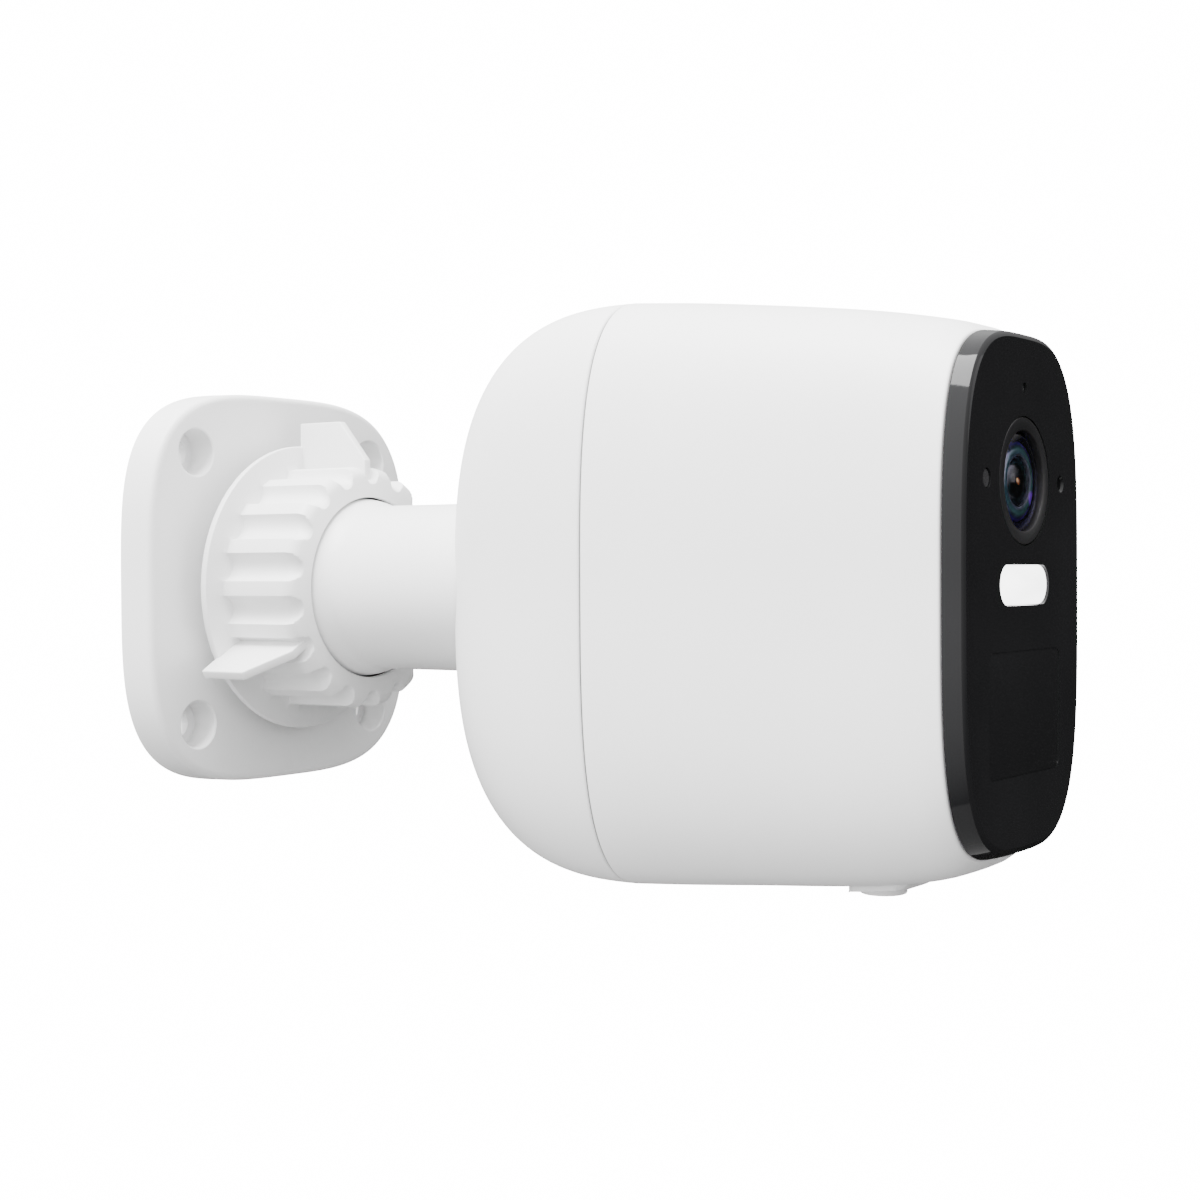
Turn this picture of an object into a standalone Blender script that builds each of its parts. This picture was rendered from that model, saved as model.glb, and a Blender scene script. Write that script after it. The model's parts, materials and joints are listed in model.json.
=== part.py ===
"""A battery security camera with a spotlight, on a ball mount with a locking ring and a wall plate.

Metres, +Z up. The wall is the plane Y = 0, the mount's axis is the Y axis, and the lens looks along -Y.
"Depth" is the distance from the wall, so a point's Y is minus its depth. All sizes below are in
millimetres, and the helpers turn them into metres.
"""
import math

import bmesh
import bpy
from mathutils import Matrix, Vector

MM = 0.001
GAP = 0.3                   # clearance between neighbouring pieces

# Wall plate and its four screw holes
PLATE_HALF_WIDTH = 28.6
PLATE_HALF_HEIGHT = 29.2
PLATE_THICK = 6.0
PLATE_EXPONENT = 3.6
PLATE_EDGE = 1.0
HOLE_X = 19.2
HOLE_Z = 19.9
HOLE_RADIUS = 2.1
COUNTERBORE_RADIUS = 3.4
COUNTERBORE_FLOOR = 1.6

# Ball joint
BALL_DEPTH = 19.9
BALL_RADIUS = 13.35
STEM_RADIUS = 12.05
STEM_END = 49.7
STUD_RADIUS = 3.2
STUD_START = 42.0
STUD_END = 54.9
SOCKET_RADIUS = BALL_RADIUS + GAP
COLLAR_RADIUS = 15.0
COLLAR_BORE = 12.3
COLLAR_END = 21.6
CUP_OUTER = 14.4
CUP_POLAR = (28, 45)        # degrees from the axis, on the wall side of the ball

# Locking ring
RING_REAR = 8.7
RING_FRONT = 23.1
RING_BORE = 15.4
RING_LIP = 1.0
RING_MOUTH = 13.4
RIB_RADIUS = 18.0
GROOVE_RADIUS = 16.4
RIB_COUNT = 18
FLANGE_RADIUS = 21.45
FLANGE_THICK = 1.2
WING_THICK = 1.4
WING_ANGLES = (90, 210, 330)
WING_OUTLINE = ((16.0, 9.3), (24.9, 9.3), (24.9, 17.3), (19.0, 22.2), (16.0, 22.2))

# Camera body: depth, top, bottom, half width, and the exponent of the superelliptic section
STATIONS = (
    (73.0, 38.1, -39.7, 17.8, 3.1),
    (82.0, 37.4, -39.1, 18.2, 3.1),
    (91.7, 36.4, -38.3, 18.4, 3.2),
    (104.6, 34.9, -37.3, 18.4, 3.3),
    (111.5, 33.9, -36.5, 18.35, 3.4),
    (117.0, 32.9, -35.5, 18.3, 3.4),
    (120.5, 32.1, -34.3, 18.2, 3.5),
    (123.0, 31.0, -32.6, 18.1, 3.5),
    (125.4, 30.65, -31.75, 17.95, 3.5),
    (125.8, 30.3, -31.3, 17.64, 3.5),
)
DOME_REAR = 44.0
DOME_FRONT = STATIONS[0][0]
DOME_EXPONENT = 2.7
WALL = 2.0
CAVITY_REAR = 52.0
POCKET_RADIUS = STEM_RADIUS + 0.35
POCKET_FLOOR = STEM_END + GAP
INSERT_RADIUS = 5.0
INSERT_END = 55.3
BOSS_RADIUS = 6.6
BOSS_END = 56.2
SEAM_DEPTH = 72.65
SEAL_HALF = 0.2
COVER_REAR = 123.0
COVER_FRONT = 125.8
FLUSH = 125.6               # windows and bezel end just behind the cover's face
AROUND = 40                 # points around each body section

# Front face, each as X and Z
LENS_Z = 12.95
BEZEL_RADIUS = 7.73
BEZEL_BORE = 6.05
LIGHT_SENSOR = (-11.4, LENS_Z)
LIGHT_SENSOR_RADIUS = 1.15
MIC = (11.5, LENS_Z)
MIC_HOLE = 1.1
STATUS = (0.0, 24.1)
STATUS_RADIUS = 0.63
SPOT_Z = 0.45
SPOT_HALF_WIDTH = 7.55
SPOT_HALF_HEIGHT = 2.41
PIR_Z = -14.95
PIR_HALF_WIDTH = 11.0
PIR_HALF_HEIGHT = 7.45
PIR_CORNER = 1.3

# Port cover under the body
FLAP_REAR = 103.9
FLAP_FRONT = 112.8
FLAP_HALF_WIDTH = 5.4
FLAP_PROUD = 0.7
FLAP_THICK = 1.2
PULL_DEPTH = 106.9
PULL_RADIUS = 3.0
PULL_PROUD = 1.45
PORT_DEPTH = 109.9
CARD_DEPTH = 102.6
BUTTON_X = 2.6
BUTTON_DEPTH = 106.6
BUTTON_RADIUS = 0.9

# Inside
CELL_RADIUS = 9.15
CELL_LENGTH = 65.0
CELL_Z = -0.7
CELL_DEPTHS = (66.0, 86.0)
POST_X = 13.4
HEAD_RADIUS = 1.5
POST_HEIGHTS = (20.0, -22.0)
FRAME_REAR = 96.0
FRAME_THICK = 1.4
SCREW_RADIUS = 0.9

for old in list(bpy.data.objects):
    bpy.data.objects.remove(old)

parts = bpy.data.collections.new("security_camera")
cutters = bpy.data.collections.new("cutters")
for group in (parts, cutters):
    bpy.context.scene.collection.children.link(group)


def material(name, colour, roughness, metallic=0.0):
    made = bpy.data.materials.new(name)
    made.use_nodes = True
    shader = made.node_tree.nodes["Principled BSDF"]
    shader.inputs["Base Color"].default_value = (*colour, 1.0)
    shader.inputs["Roughness"].default_value = roughness
    shader.inputs["Metallic"].default_value = metallic
    return made


WHITE = material("white_shell_plastic", (0.82, 0.82, 0.82), 0.45)
BLACK = material("black_gloss_plastic", (0.01, 0.01, 0.011), 0.08)
GREY = material("dark_grey_plastic", (0.045, 0.045, 0.045), 0.5)
SEAL = material("seal_rubber", (0.06, 0.06, 0.06), 0.7)
FLAP = material("white_rubber", (0.72, 0.72, 0.72), 0.65)
GLASS = material("lens_glass", (0.02, 0.03, 0.05), 0.02)
CLEAR = material("frosted_window", (0.85, 0.85, 0.82), 0.3)
PIR = material("pir_window_plastic", (0.02, 0.02, 0.022), 0.35)
BOARD = material("circuit_board", (0.02, 0.12, 0.05), 0.5)
METAL = material("plated_steel", (0.6, 0.6, 0.6), 0.3, 1.0)
BRASS = material("brass", (0.7, 0.5, 0.2), 0.3, 1.0)
CELL = material("cell_sleeve", (0.05, 0.15, 0.4), 0.4)


def place(name, mesh, finish):
    """Put a mesh in the scene as a part, or as a cutter when it has no finish."""
    made = bpy.data.objects.new(name, mesh)
    if finish is None:
        cutters.objects.link(made)
        made.hide_render = True
        made.display_type = 'WIRE'
    else:
        parts.objects.link(made)
        mesh.materials.append(finish)
    return made


def along_axis(made, x, z):
    """Turn a piece so that its own Z points away from the wall, and centre it on (x, z)."""
    made.rotation_euler = (math.radians(90), 0, 0)
    made.location = (x * MM, 0, z * MM)
    return made


def mesh_from(build, name, finish):
    """Finish a bmesh: outward faces, metres, one object."""
    bmesh.ops.recalc_face_normals(build, faces=build.faces)
    bmesh.ops.scale(build, vec=(MM, MM, MM), verts=build.verts)
    mesh = bpy.data.meshes.new(name)
    build.to_mesh(mesh)
    build.free()
    return place(name, mesh, finish)


def turned(name, profile, finish, x=0.0, z=0.0, segments=32, ring=False):
    """Turn (radius, depth) points about the depth axis. A ring's profile is a closed loop."""
    area = 0.0
    for (r0, d0), (r1, d1) in zip(profile, profile[1:] + profile[:1]):
        area += r0 * d1 - r1 * d0
    if area > 0:
        profile = profile[::-1]
    build = bmesh.new()
    points = [build.verts.new((r, 0, d)) for r, d in profile]
    for start, end in zip(points, points[1:]):
        build.edges.new((start, end))
    if ring:
        build.edges.new((points[-1], points[0]))
    made = mesh_from(build, name, finish)
    screw = made.modifiers.new("turn", 'SCREW')
    screw.steps = segments
    screw.render_steps = segments
    screw.use_merge_vertices = True
    screw.merge_threshold = 0.00001
    made.data.shade_smooth()
    return along_axis(made, x, z)


def disc(name, radius, rear, front, finish, x=0.0, z=0.0, segments=24):
    return turned(name, [(0, front), (radius, front), (radius, rear), (0, rear)], finish, x, z, segments)


def tube(name, bore, radius, rear, front, finish, x=0.0, z=0.0, segments=24):
    profile = [(bore, front), (radius, front), (radius, rear), (bore, rear)]
    return turned(name, profile, finish, x, z, segments, ring=True)


def arc(radius, centre_depth, polar_from, polar_to, steps):
    """Points on a sphere about the axis, by the angle from the wall side of the axis in degrees."""
    points = []
    for step in range(steps + 1):
        polar = math.radians(polar_from + (polar_to - polar_from) * step / steps)
        points.append((radius * math.sin(polar), centre_depth - radius * math.cos(polar)))
    return points


def superellipse(half_width, half_height, exponent, count):
    """Outline points of a superellipse, starting at +X."""
    points = []
    for step in range(count):
        angle = math.tau * step / count
        cosine, sine = math.cos(angle), math.sin(angle)
        x = math.copysign(abs(cosine) ** (2 / exponent), cosine) * half_width
        z = math.copysign(abs(sine) ** (2 / exponent), sine) * half_height
        points.append((x, z))
    return points


def rounded(half_width, half_height, corner, steps=4):
    """Outline points of a rounded rectangle."""
    points = []
    for quarter, (side_x, side_z) in enumerate(((1, 1), (-1, 1), (-1, -1), (1, -1))):
        for step in range(steps + 1):
            angle = math.radians(90 * quarter + 90 * step / steps)
            x = side_x * (half_width - corner) + corner * math.cos(angle)
            z = side_z * (half_height - corner) + corner * math.sin(angle)
            points.append((x, z))
    return points


def prism(name, outline, rear, front, finish, x=0.0, z=0.0):
    """Extrude a flat outline from one depth to another."""
    build = bmesh.new()
    face = build.faces.new([build.verts.new((px, pz, rear)) for px, pz in outline])
    grown = bmesh.ops.extrude_face_region(build, geom=[face])
    moved = [item for item in grown["geom"] if isinstance(item, bmesh.types.BMVert)]
    bmesh.ops.translate(build, verts=moved, vec=(0, 0, front - rear))
    return along_axis(mesh_from(build, name, finish), x, z)


def box(name, low, high, finish):
    """A block between two corners, each given as X, depth, Z."""
    build = bmesh.new()
    bmesh.ops.create_cube(build, size=1)
    size = [abs(b - a) for a, b in zip(low, high)]
    middle = [(a + b) / 2 for a, b in zip(low, high)]
    bmesh.ops.scale(build, vec=size, verts=build.verts)
    bmesh.ops.translate(build, vec=(middle[0], -middle[1], middle[2]), verts=build.verts)
    return mesh_from(build, name, finish)


def post(name, radius, bottom, top, x, depth, finish, segments=24):
    """An upright cylinder."""
    build = bmesh.new()
    bmesh.ops.create_cone(build, cap_ends=True, segments=segments, radius1=radius, radius2=radius,
                          depth=top - bottom)
    bmesh.ops.translate(build, vec=(x, -depth, (top + bottom) / 2), verts=build.verts)
    return mesh_from(build, name, finish)


def cut(target, tool, operation='DIFFERENCE'):
    step = target.modifiers.new(tool.name, 'BOOLEAN')
    step.operation = operation
    step.solver = 'EXACT'
    step.object = tool


def station(depth):
    """Top, bottom, half width and exponent of the body's section at a depth."""
    if depth <= DOME_FRONT:
        _, top, bottom, half_width, exponent = STATIONS[0]
        inward = (DOME_FRONT - depth) / (DOME_FRONT - DOME_REAR)
        shrink = (1 - inward ** DOME_EXPONENT) ** (1 / DOME_EXPONENT)
        middle = (top + bottom) / 2
        return (middle + (top - middle) * shrink, middle + (bottom - middle) * shrink,
                half_width * shrink, exponent)
    for before, after in zip(STATIONS, STATIONS[1:]):
        if depth <= after[0]:
            share = (depth - before[0]) / (after[0] - before[0])
            return tuple(a + (b - a) * share for a, b in zip(before[1:], after[1:]))
    return STATIONS[-1][1:]


def section(depth, inset=0.0):
    """Outline of the body at a depth, drawn in by an inset."""
    top, bottom, half_width, exponent = station(depth)
    middle = (top + bottom) / 2
    outline = superellipse(half_width - inset, (top - bottom) / 2 - inset, exponent, AROUND)
    return [(x, z + middle) for x, z in outline]


def loft(name, sections, finish):
    """A closed solid through (depth, outline) sections of equal point counts."""
    build = bmesh.new()
    loops = [[build.verts.new((x, z, depth)) for x, z in outline] for depth, outline in sections]
    for near, far in zip(loops, loops[1:]):
        for index in range(len(near)):
            following = (index + 1) % len(near)
            build.faces.new((near[index], near[following], far[following], far[index]))
    build.faces.new(loops[0])
    build.faces.new(loops[-1])
    return along_axis(mesh_from(build, name, finish), 0, 0)


def belly(name, half_width, rear, front, proud, thick, finish):
    """A sheet that follows the body's underside, its outer face standing proud of the body."""
    build = bmesh.new()
    bmesh.ops.create_grid(build, x_segments=8, y_segments=4, size=1)
    for vert in build.verts:
        x = vert.co.x * half_width
        depth = (rear + front) / 2 + vert.co.y * (front - rear) / 2
        top, bottom, width, exponent = station(depth)
        middle = (top + bottom) / 2
        drop = (middle - bottom) * (1 - abs(x / width) ** exponent) ** (1 / exponent)
        vert.co = (x, -depth, middle - drop - proud)
    grown = bmesh.ops.extrude_face_region(build, geom=build.faces[:])
    moved = [item for item in grown["geom"] if isinstance(item, bmesh.types.BMVert)]
    bmesh.ops.translate(build, verts=moved, vec=(0, 0, thick))
    return mesh_from(build, name, finish)


def pivot(name, x, depth, z, parent=None):
    """An empty on a joint's axis. Its world place is kept for the pieces that hang on it."""
    made = bpy.data.objects.new(name, None)
    parts.objects.link(made)
    made["place"] = (x * MM, -depth * MM, z * MM)
    made.location = made["place"]
    if parent:
        hang(parent, made)
    return made


def hang(parent, *pieces):
    for piece in pieces:
        piece.parent = parent
        piece.matrix_parent_inverse = Matrix.Translation(-Vector(parent["place"]))


def wall_plate():
    back_outline = superellipse(PLATE_HALF_WIDTH, PLATE_HALF_HEIGHT, PLATE_EXPONENT, 48)
    front_outline = superellipse(PLATE_HALF_WIDTH - PLATE_EDGE, PLATE_HALF_HEIGHT - PLATE_EDGE,
                                 PLATE_EXPONENT, 48)
    plate = loft("wall_plate", [(0, back_outline), (PLATE_THICK - PLATE_EDGE, back_outline),
                                (PLATE_THICK, front_outline)], WHITE)
    for side_x in (-1, 1):
        for side_z in (-1, 1):
            profile = [(0, PLATE_THICK + 1), (COUNTERBORE_RADIUS, PLATE_THICK + 1),
                       (COUNTERBORE_RADIUS, COUNTERBORE_FLOOR), (HOLE_RADIUS, COUNTERBORE_FLOOR),
                       (HOLE_RADIUS, -1), (0, -1)]
            hole = turned(f"screw_hole_{side_x}_{side_z}", profile, None,
                          side_x * HOLE_X, side_z * HOLE_Z, 16)
            cut(plate, hole)


def socket_collar():
    seat = arc(SOCKET_RADIUS, BALL_DEPTH, 64, 97, 4)
    rear = PLATE_THICK + GAP
    profile = seat + [(COLLAR_RADIUS - 0.6, COLLAR_END), (COLLAR_RADIUS, COLLAR_END - 0.6),
                      (COLLAR_RADIUS, rear), (COLLAR_BORE, rear), (COLLAR_BORE, seat[0][1])]
    turned("socket_collar", profile, GREY, segments=40, ring=True)


def friction_cup():
    profile = arc(CUP_OUTER, BALL_DEPTH, *CUP_POLAR, 3) + arc(SOCKET_RADIUS, BALL_DEPTH, *CUP_POLAR[::-1], 3)
    return turned("friction_cup", profile, GREY, segments=32, ring=True)


def ball_stem():
    shoulder = math.degrees(math.pi - math.asin(STEM_RADIUS / BALL_RADIUS))
    hole = STUD_RADIUS + GAP
    profile = arc(BALL_RADIUS, BALL_DEPTH, 0, shoulder, 12)
    profile[0] = (0, profile[0][1])
    profile += [(STEM_RADIUS, STEM_END - 0.6), (STEM_RADIUS - 0.6, STEM_END), (hole, STEM_END),
                (hole, STUD_START - GAP), (0, STUD_START - GAP)]
    return turned("ball_stem", profile, WHITE, segments=40)


def locking_ring():
    knurl = []
    for step in range(RIB_COUNT * 4):
        angle = math.tau * step / (RIB_COUNT * 4)
        radius = (RIB_RADIUS + GROOVE_RADIUS + (RIB_RADIUS - GROOVE_RADIUS) * math.cos(RIB_COUNT * angle)) / 2
        knurl.append((radius * math.cos(angle), radius * math.sin(angle)))
    ring = prism("locking_ring", knurl, RING_REAR + FLANGE_THICK / 2, RING_FRONT, WHITE)
    flange = disc("ring_flange", FLANGE_RADIUS, RING_REAR, RING_REAR + FLANGE_THICK, None, segments=48)
    cut(ring, flange, 'UNION')
    for angle in WING_ANGLES:
        build = bmesh.new()
        face = build.faces.new([build.verts.new((r, -WING_THICK / 2, d)) for r, d in WING_OUTLINE])
        grown = bmesh.ops.extrude_face_region(build, geom=[face])
        moved = [item for item in grown["geom"] if isinstance(item, bmesh.types.BMVert)]
        bmesh.ops.translate(build, verts=moved, vec=(0, WING_THICK, 0))
        bmesh.ops.rotate(build, verts=build.verts, matrix=Matrix.Rotation(math.radians(angle), 3, 'Z'))
        wing = along_axis(mesh_from(build, f"ring_wing_{angle}", None), 0, 0)
        cut(ring, wing, 'UNION')
    lip = RING_FRONT - RING_LIP
    bore = [(0, RING_FRONT + 1), (RING_MOUTH, RING_FRONT + 1), (RING_MOUTH, lip), (RING_BORE, lip),
            (RING_BORE, RING_REAR - 1), (0, RING_REAR - 1)]
    cut(ring, turned("ring_bore", bore, None, segments=48))
    return ring


def rear_shell():
    front = SEAM_DEPTH - SEAL_HALF - GAP
    depths = (44.2, 45.2, 47.0, 49.5, 53.0, 58.0, 64.5, front)
    shell = loft("rear_shell", [(d, section(d)) for d in depths], WHITE)
    inner = (CAVITY_REAR, 55.0, 59.0, 65.0, front + 1)
    cut(shell, loft("rear_cavity", [(d, section(min(d, DOME_FRONT), WALL)) for d in inner], None))
    cut(shell, disc("insert_boss", BOSS_RADIUS, CAVITY_REAR - 1, BOSS_END, None), 'UNION')
    cut(shell, disc("stem_pocket", POCKET_RADIUS, DOME_REAR - 1, POCKET_FLOOR, None, segments=40))
    cut(shell, disc("insert_hole", INSERT_RADIUS + GAP, POCKET_FLOOR - 1, INSERT_END + GAP, None))
    return shell


def front_shell():
    rear = SEAM_DEPTH + SEAL_HALF + GAP
    front = COVER_REAR - GAP
    depths = [rear] + [row[0] for row in STATIONS[1:7]] + [front]
    shell = loft("front_shell", [(d, section(d)) for d in depths], WHITE)
    hollow = [rear - 1, rear] + depths[1:] + [front + 1]
    cut(shell, loft("front_cavity", [(d, section(d, WALL)) for d in hollow], None))
    for number, (x, z) in enumerate(screw_places()):
        cut(shell, disc(f"screw_post_{number}", 2.4, 89.0, FRAME_REAR - GAP, None, x, z, 16), 'UNION')
        cut(shell, disc(f"post_bore_{number}", SCREW_RADIUS + GAP, 90.0, FRAME_REAR + 1, None, x, z, 12))
    clear = 0.35
    cut(shell, belly("flap_recess", FLAP_HALF_WIDTH + clear, FLAP_REAR - clear, FLAP_FRONT + clear,
                     4.0, 4.0 + FLAP_THICK - FLAP_PROUD + clear, None))
    cut(shell, box("port_opening", (-4.4, 104.9, -40), (4.4, 111.7, -30), None))
    return shell


def screw_places():
    return [(side * POST_X, height) for side in (-1, 1) for height in POST_HEIGHTS]


def shell_seal():
    faces = (SEAM_DEPTH - SEAL_HALF, SEAM_DEPTH + SEAL_HALF)
    ring = loft("shell_seal", [(d, section(d, 0.5)) for d in faces], SEAL)
    ends = (SEAM_DEPTH - 2, SEAM_DEPTH + 2)
    cut(ring, loft("seal_hole", [(d, section(SEAM_DEPTH, 1.8)) for d in ends], None))
    return ring


def front_cover():
    depths = [COVER_REAR] + [row[0] for row in STATIONS if row[0] > COVER_REAR]
    cover = loft("front_cover", [(d, section(d)) for d in depths], BLACK)
    through = (COVER_REAR - 1, COVER_FRONT + 1)
    holes = (
        disc("lens_hole", BEZEL_RADIUS + GAP, *through, None, 0, LENS_Z, 32),
        disc("light_sensor_hole", LIGHT_SENSOR_RADIUS + GAP, *through, None, *LIGHT_SENSOR, 16),
        disc("mic_hole", MIC_HOLE, *through, None, *MIC, 16),
        disc("status_hole", STATUS_RADIUS + GAP, *through, None, *STATUS, 12),
        prism("spot_hole", rounded(SPOT_HALF_WIDTH + GAP, SPOT_HALF_HEIGHT + GAP, SPOT_HALF_HEIGHT + GAP, 6),
              *through, None, 0, SPOT_Z),
        prism("pir_hole", rounded(PIR_HALF_WIDTH + GAP, PIR_HALF_HEIGHT + GAP, PIR_CORNER + GAP),
              *through, None, 0, PIR_Z),
    )
    for hole in holes:
        cut(cover, hole)
    return cover


def face_pieces():
    """The lens, windows and sensors behind and in the front cover."""
    bezel = [(BEZEL_BORE, 124.6), (BEZEL_BORE + 0.7, FLUSH), (BEZEL_RADIUS, FLUSH), (BEZEL_RADIUS, 120.3),
             (BEZEL_BORE, 120.3)]
    dome = [(0, 125.0), (2.0, 124.8), (4.0, 124.2), (5.75, 123.2), (5.75, 120.9), (0, 120.9)]
    rear_lens = [(0, 114.6), (2.5, 114.2), (4.9, 113.0), (4.9, 111.0), (0, 111.0)]
    return [
        turned("lens_bezel", bezel, GREY, 0, LENS_Z, 32, ring=True),
        turned("lens_front_element", dome, GLASS, 0, LENS_Z, 32),
        tube("lens_barrel", 5.2, 7.0, 107.6, 119.9, GREY, 0, LENS_Z),
        turned("lens_rear_element", rear_lens, GLASS, 0, LENS_Z, 24),
        prism("image_sensor", rounded(3.2, 2.8, 0.2, 1), 106.1, 107.3, GREY, 0, LENS_Z),
        prism("sensor_board", rounded(8.5, 8.5, 1.0, 2), 104.6, 105.8, BOARD, 0, LENS_Z),
        prism("led_board", rounded(11.0, 5.6, 1.0, 2), 116.5, 117.5, BOARD, 0, -1.2),
        prism("spotlight_led_left", rounded(1.6, 1.6, 0.2, 1), 117.8, 118.7, CLEAR, -3.6, SPOT_Z),
        prism("spotlight_led_right", rounded(1.6, 1.6, 0.2, 1), 117.8, 118.7, CLEAR, 3.6, SPOT_Z),
        prism("spotlight_window", rounded(SPOT_HALF_WIDTH, SPOT_HALF_HEIGHT, SPOT_HALF_HEIGHT, 6),
              122.4, FLUSH, CLEAR, 0, SPOT_Z),
        prism("pir_window", rounded(PIR_HALF_WIDTH, PIR_HALF_HEIGHT, PIR_CORNER),
              123.6, FLUSH, PIR, 0, PIR_Z),
        disc("pir_sensor", 4.6, 112.0, 116.5, METAL, 0, PIR_Z),
        disc("light_sensor_window", LIGHT_SENSOR_RADIUS, 122.6, FLUSH, GREY, *LIGHT_SENSOR, 16),
        disc("microphone", 2.0, 119.5, 121.0, METAL, *MIC, 16),
        disc("status_light_pipe", STATUS_RADIUS, 120.0, 125.5, CLEAR, *STATUS, 12),
    ]


def inner_pieces():
    """The batteries, frame, boards, speaker and ports inside the body."""
    made = [
        tube("stud_insert", STUD_RADIUS + GAP, INSERT_RADIUS, POCKET_FLOOR + 0.35, INSERT_END, BRASS),
        prism("main_board", section(100.0, WALL + 1.0), 99.2, 100.6, BOARD),
        prism("speaker", rounded(8.0, 5.5, 1.0, 2), 101.0, 105.5, GREY, 0, -12.6),
        box("wifi_antenna", (-7, 103, 28.5), (7, 114, 29.3), BOARD),
        box("port_board", (-9, 104.6, -29.2), (9, 113.5, -28.0), BOARD),
    ]
    for name, x in (("power_switch", BUTTON_X), ("reset_switch", -BUTTON_X)):
        low, high = (x - 1.1, BUTTON_DEPTH - 1.1, -30.5), (x + 1.1, BUTTON_DEPTH + 1.1, -29.5)
        made.append(box(name, low, high, METAL))
    for place_name, depth in zip(("rear", "front"), CELL_DEPTHS):
        made.append(post(f"battery_cell_{place_name}", CELL_RADIUS, CELL_Z - CELL_LENGTH / 2,
                         CELL_Z + CELL_LENGTH / 2, 0, depth, CELL, 24))
    web = sum(CELL_DEPTHS) / 2
    holder = box("battery_holder", (-10.6, 60, -25), (10.6, 94, 25), GREY)
    inner = CELL_RADIUS + 0.35
    cut(holder, box("holder_rear_bay", (-inner, 59, -26), (inner, web - 0.5, 26), None))
    cut(holder, box("holder_front_bay", (-inner, web + 0.5, -26), (inner, 95, 26), None))
    made.append(holder)
    frame = prism("inner_frame", section(97.0, WALL + 0.5), FRAME_REAR, FRAME_REAR + FRAME_THICK, GREY)
    made.append(frame)
    head = FRAME_REAR + FRAME_THICK + GAP
    for number, (x, z) in enumerate(screw_places()):
        cut(frame, disc(f"frame_hole_{number}", SCREW_RADIUS + GAP, FRAME_REAR - 1, head + 1, None, x, z, 12))
        profile = [(0, head + 0.9), (HEAD_RADIUS, head + 0.9), (HEAD_RADIUS, head), (SCREW_RADIUS, head),
                   (SCREW_RADIUS, 90.5), (0, 90.5)]
        made.append(turned(f"frame_screw_{number + 1}", profile, METAL, x, z, 12))
    port = box("usb_port", (-3.8, PORT_DEPTH - 1.4, -35.5), (3.8, PORT_DEPTH + 1.4, -29.5), METAL)
    cut(port, box("usb_mouth", (-3.5, PORT_DEPTH - 1.1, -37), (3.5, PORT_DEPTH + 1.1, -31), None))
    slot = box("card_slot", (-6.4, CARD_DEPTH - 1.3, -34.5), (6.4, CARD_DEPTH + 1.3, -18.9), METAL)
    cut(slot, box("card_mouth", (-5.8, CARD_DEPTH - 0.8, -36), (5.8, CARD_DEPTH + 0.8, -19.6), None))
    card = box("memory_card", (-5.5, CARD_DEPTH - 0.5, -34.9), (5.5, CARD_DEPTH + 0.5, -19.9), BLACK)
    return made + [port, slot, card]


def port_cover():
    flap = belly("port_cover", FLAP_HALF_WIDTH, FLAP_REAR, FLAP_FRONT, FLAP_PROUD, FLAP_THICK, FLAP)
    bottom = station(PULL_DEPTH)[1]
    pull = post("flap_pull", PULL_RADIUS, bottom - PULL_PROUD, bottom, 0, PULL_DEPTH, None, 20)
    cut(flap, pull, 'UNION')
    return flap


wall_plate()
socket_collar()

ring_axis = pivot("ring_axis", 0, RING_REAR, 0)
hang(ring_axis, locking_ring())

pan_axis = pivot("pan_axis", 0, BALL_DEPTH, 0)
hang(pan_axis, friction_cup())

tilt_axis = pivot("tilt_axis", 0, BALL_DEPTH, 0, pan_axis)
hang(tilt_axis, ball_stem(), disc("stem_stud", STUD_RADIUS, STUD_START, STUD_END, METAL, segments=20))

roll_axis = pivot("roll_axis", 0, STEM_END, 0, tilt_axis)
hang(roll_axis, rear_shell(), front_shell(), shell_seal(), front_cover(), *face_pieces(), *inner_pieces())

flap_axis = pivot("flap_axis", 0, FLAP_FRONT, station(FLAP_FRONT)[1], roll_axis)
hang(flap_axis, port_cover())

for button, x in (("power_button", BUTTON_X), ("reset_button", -BUTTON_X)):
    press_axis = pivot(f"{button}_axis", x, BUTTON_DEPTH, -31.0, roll_axis)
    hang(press_axis, post(button, BUTTON_RADIUS, -35.3, -31.0, x, BUTTON_DEPTH, GREY, 16))
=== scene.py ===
"""A battery security camera with a spotlight, on a ball mount: the finished look of every piece.

The wall is the plane Y = 0 and the lens looks along -Y. Sizes are in millimetres unless a name says
otherwise, and each mesh is turned to metres when it is finished.
"""
import json
import math

import bmesh
import bpy
from mathutils import Matrix, Vector


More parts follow.
